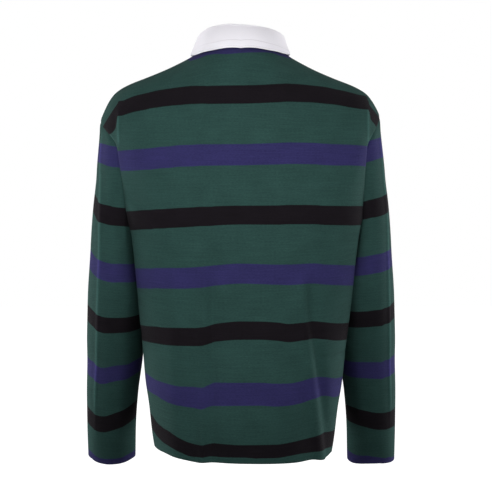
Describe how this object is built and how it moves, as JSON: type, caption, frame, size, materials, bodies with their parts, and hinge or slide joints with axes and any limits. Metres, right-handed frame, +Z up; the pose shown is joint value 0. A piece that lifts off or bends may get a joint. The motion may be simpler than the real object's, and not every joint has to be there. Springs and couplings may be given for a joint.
{
  "type": "polo shirt",
  "caption": "Long-sleeve striped knit polo shirt, worn and hollow, with a folded white collar, a buttoned placket, dropped shoulders, a straight hem and plain hemmed cuffs.",
  "frame": {"origin": "on the centreline between the shoulders, level with the neck ends of the two shoulder seams, where the shirt rests on its wearer", "axes": "+Z up, -Y the way the wearer faces, so the placket is on -Y and the plain back on +Y; +X to the wearer's left"},
  "size_m": [0.571, 0.3156, 0.7766],
  "materials": {
    "striped_knit": "matte cotton knit, dark green with black and navy stripes",
    "white_woven": "matte white cotton twill",
    "button_plastic": "satin off-white"
  },
  "bodies": {
    "root": {"back": "striped_knit", "front": "striped_knit", "sleeve_left": "striped_knit", "sleeve_right": "striped_knit", "placket_upper": "striped_knit", "placket_under": "striped_knit", "collar": "white_woven", "button_1": "button_plastic", "button_2": "button_plastic", "button_3": "button_plastic"}
  },
  "joints": []
}
